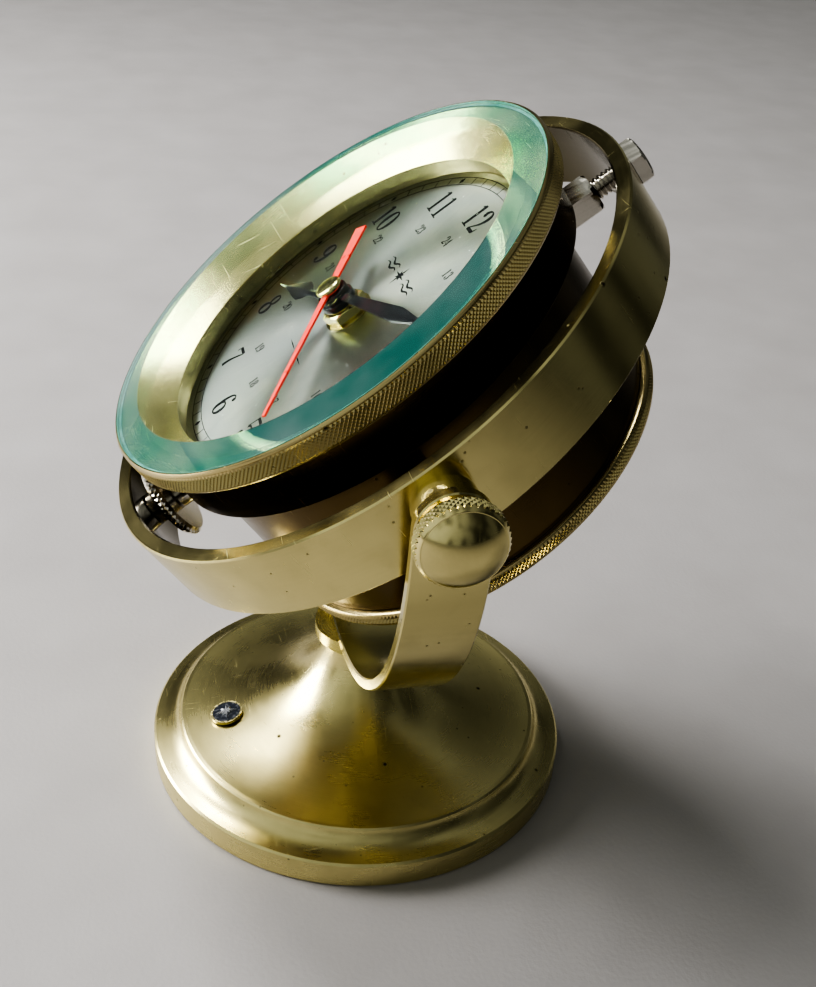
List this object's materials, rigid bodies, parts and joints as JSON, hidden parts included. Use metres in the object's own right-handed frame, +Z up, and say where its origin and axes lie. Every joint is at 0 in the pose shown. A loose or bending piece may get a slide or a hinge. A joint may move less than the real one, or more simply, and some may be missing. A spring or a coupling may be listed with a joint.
{
  "type": "gimballed desk clock",
  "caption": "Ship's desk clock: a glazed round drum hung in a brass gimbal ring, held by clamp knobs in a half-round yoke on a flared base; hands run from a geared quartz movement.",
  "frame": {"origin": "centre of the base's underside, on the surface it stands on", "axes": "+Z up; X is the yoke's pivot axis, +X on the 3 o'clock side; the dial faces -Y and upwards"},
  "size_m": [0.1646, 0.116, 0.1599],
  "materials": {
    "satin_brass": "satin, tarnished",
    "polished_brass": "polished",
    "knurled_brass": "diamond knurled",
    "dark_brass": "darkened",
    "nickel": "polished",
    "steel": "zinc plated",
    "cast_iron": "rough",
    "felt": "felt",
    "badge_silver": "dark silver",
    "glass": "bevelled, clear",
    "rubber": "matte",
    "dial_silver": "satin sunburst",
    "hand_black": "gloss",
    "hand_red": "gloss",
    "movement_plastic": "moulded",
    "gear_plastic": "moulded",
    "board_green": "solder mask",
    "copper": "enamelled wire",
    "battery_wrap": "plain wrap"
  },
  "bodies": {
    "stand": {"base_shell": "satin_brass", "base_weight": "cast_iron", "weight_washer": "steel", "weight_screw": "steel", "base_felt": "felt", "neck_collar": "satin_brass", "yoke": "polished_brass", "yoke_screw": "satin_brass", "badge_disc": "polished_brass", "badge_star": "badge_silver", "knob_washers": "polished_brass"},
    "right_knob": {"clamp_knob_right": "knurled_brass", "clamp_stud_right": "steel"},
    "left_knob": {"clamp_knob_left": "knurled_brass", "clamp_stud_left": "steel"},
    "ring": {"gimbal_ring": "polished_brass", "pivot_spacer_right": "dark_brass", "pivot_spacer_left": "dark_brass", "upper_pivot_screw": "nickel", "lower_pivot_stud": "nickel"},
    "lock_nut": {"thumb_nut": "knurled_brass"},
    "drum": {"case_body": "dark_brass", "upper_pivot_boss": "nickel", "lower_pivot_boss": "dark_brass", "rehaut_ring": "satin_brass", "dial_plate": "dial_silver", "dial_washer": "rubber", "centre_washer": "satin_brass", "centre_nut": "satin_brass", "movement_front_plate": "movement_plastic", "movement_back_case": "movement_plastic", "train_bridge": "movement_plastic", "stator": "steel", "coil": "copper", "circuit_board": "board_green", "quartz_crystal": "nickel", "battery": "battery_wrap", "battery_contacts": "nickel"},
    "bezel": {"front_bezel": "knurled_brass", "glass": "glass", "glass_gasket": "rubber"},
    "back_cover": {"rear_bezel": "knurled_brass", "back_plate": "satin_brass", "back_gasket": "rubber"},
    "seconds": {"seconds_wheel": "gear_plastic", "second_hand": "hand_red", "hand_cap": "polished_brass"},
    "third": {"third_wheel": "gear_plastic"},
    "minutes": {"centre_wheel": "gear_plastic", "minute_hand": "hand_black"},
    "motion": {"minute_wheel": "gear_plastic"},
    "hours": {"hour_wheel": "gear_plastic", "hour_hand": "hand_black"},
    "intermediate": {"intermediate_wheel": "gear_plastic"},
    "motor_rotor": {"rotor": "steel"},
    "setting": {"setting_shaft": "gear_plastic", "setting_knob": "gear_plastic"}
  },
  "joints": [
    {"name": "ring_tilt", "type": "hinge", "parent": "stand", "child": "ring", "pos_m": [0, 0, 0.1097], "axis": [1, 0, 0], "continuous": true},
    {"name": "drum_turn", "type": "hinge", "parent": "ring", "child": "drum", "pos_m": [0, 0, 0.1097], "axis": [0, 0.7907, 0.6122], "continuous": true},
    {"name": "right_knob_turn", "type": "hinge", "parent": "stand", "child": "right_knob", "pos_m": [0.078, 0, 0.1097], "axis": [1, 0, 0], "continuous": true},
    {"name": "left_knob_turn", "type": "hinge", "parent": "stand", "child": "left_knob", "pos_m": [-0.078, 0, 0.1097], "axis": [1, 0, 0], "continuous": true},
    {"name": "lock_nut_turn", "type": "hinge", "parent": "ring", "child": "lock_nut", "pos_m": [0, -0.04507, 0.0748], "axis": [0, 0.7907, 0.6122], "continuous": true},
    {"name": "bezel_turn", "type": "hinge", "parent": "drum", "child": "bezel", "pos_m": [0, 0, 0.1097], "axis": [0, -0.6122, 0.7907], "continuous": true},
    {"name": "back_cover_turn", "type": "hinge", "parent": "drum", "child": "back_cover", "pos_m": [0, 0, 0.1097], "axis": [0, -0.6122, 0.7907], "continuous": true},
    {"name": "second_hand_turn", "type": "hinge", "parent": "drum", "child": "seconds", "pos_m": [0, 0, 0.1097], "axis": [0, 0.6122, -0.7907], "continuous": true},
    {"name": "third_wheel_turn", "type": "hinge", "parent": "drum", "child": "third", "pos_m": [0.00721, 0.0057, 0.11412], "axis": [0, 0.6122, -0.7907], "continuous": true},
    {"name": "minute_hand_turn", "type": "hinge", "parent": "drum", "child": "minutes", "pos_m": [0, 0, 0.1097], "axis": [0, 0.6122, -0.7907], "continuous": true},
    {"name": "minute_wheel_turn", "type": "hinge", "parent": "drum", "child": "motion", "pos_m": [-0.009, 0, 0.1097], "axis": [0, 0.6122, -0.7907], "continuous": true},
    {"name": "hour_hand_turn", "type": "hinge", "parent": "drum", "child": "hours", "pos_m": [0, 0, 0.1097], "axis": [0, 0.6122, -0.7907], "continuous": true},
    {"name": "intermediate_wheel_turn", "type": "hinge", "parent": "drum", "child": "intermediate", "pos_m": [-0.0036, 0.00493, 0.11352], "axis": [0, 0.6122, -0.7907], "continuous": true},
    {"name": "rotor_turn", "type": "hinge", "parent": "drum", "child": "motor_rotor", "pos_m": [-0.0071, 0.00972, 0.11723], "axis": [0, 0.6122, -0.7907], "continuous": true},
    {"name": "setting_knob_turn", "type": "hinge", "parent": "drum", "child": "setting", "pos_m": [-0.01536, 0.00503, 0.1136], "axis": [0, 0.6122, -0.7907], "continuous": true}
  ],
  "couplings": [
    {"joint": "third_wheel_turn", "follows": "second_hand_turn", "ratio": -0.13333},
    {"joint": "minute_hand_turn", "follows": "second_hand_turn", "ratio": 0.016667},
    {"joint": "minute_wheel_turn", "follows": "second_hand_turn", "ratio": -0.0055556},
    {"joint": "hour_hand_turn", "follows": "second_hand_turn", "ratio": 0.0013889},
    {"joint": "setting_knob_turn", "follows": "second_hand_turn", "ratio": 0.016667},
    {"joint": "intermediate_wheel_turn", "follows": "second_hand_turn", "ratio": -5},
    {"joint": "rotor_turn", "follows": "second_hand_turn", "ratio": 30}
  ]
}
